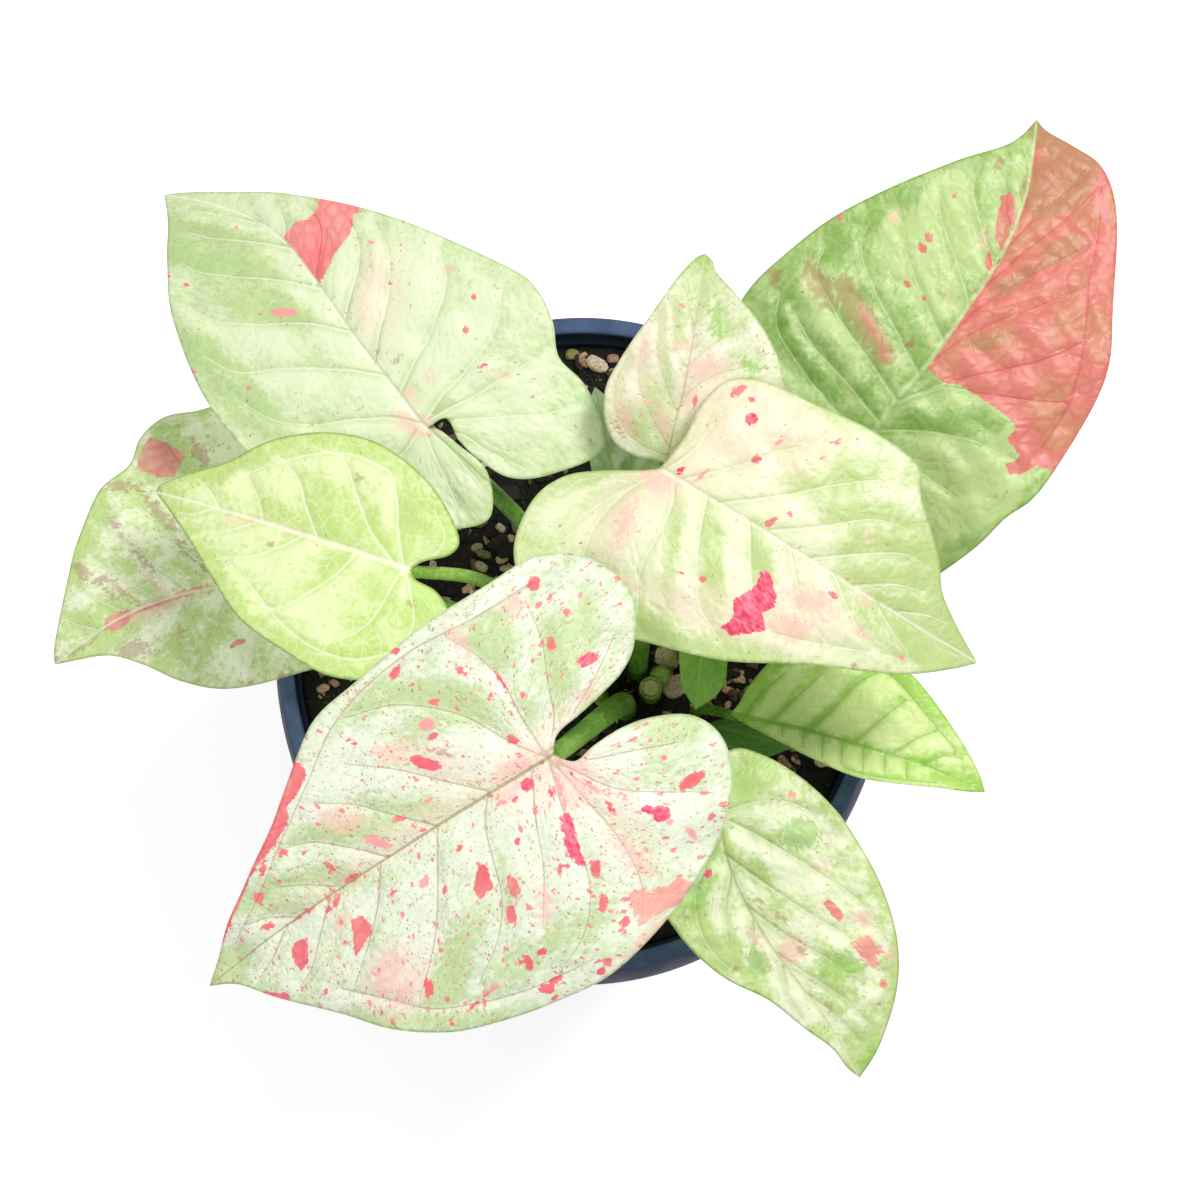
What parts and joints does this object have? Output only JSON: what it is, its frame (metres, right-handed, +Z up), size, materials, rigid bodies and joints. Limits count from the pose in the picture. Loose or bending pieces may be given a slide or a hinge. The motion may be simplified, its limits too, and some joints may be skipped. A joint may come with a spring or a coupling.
{
  "type": "potted syngonium",
  "caption": "House plant with arrow-shaped, pink-splashed leaves on slender stalks, standing in a soil-filled round nursery pot.",
  "frame": {"origin": "centre of the pot's flat underside", "axes": "+Z up, -Y towards the viewer, +X to the viewer's right"},
  "size_m": [0.2396, 0.2116, 0.2087],
  "materials": {
    "pot_plastic": "satin",
    "soil_mix": "matte",
    "stem_green": "satin",
    "pale_leaf": "satin",
    "salmon_leaf": "satin",
    "lime_leaf": "satin",
    "grey_green_leaf": "satin",
    "bright_leaf": "satin",
    "dark_leaf": "satin"
  },
  "bodies": {
    "root": {"pot": "pot_plastic", "soil": "soil_mix", "crown": "stem_green", "leaf_back_left": "pale_leaf", "leaf_back_right": "salmon_leaf", "leaf_middle_right": "pale_leaf", "leaf_front_left": "pale_leaf", "leaf_back_small": "pale_leaf", "leaf_left_lime": "lime_leaf", "leaf_far_left": "grey_green_leaf", "leaf_front_right": "pale_leaf", "leaf_right_young": "bright_leaf", "leaflet_crown": "bright_leaf", "leaf_low_right": "dark_leaf", "leaf_under_back": "grey_green_leaf"}
  },
  "joints": []
}
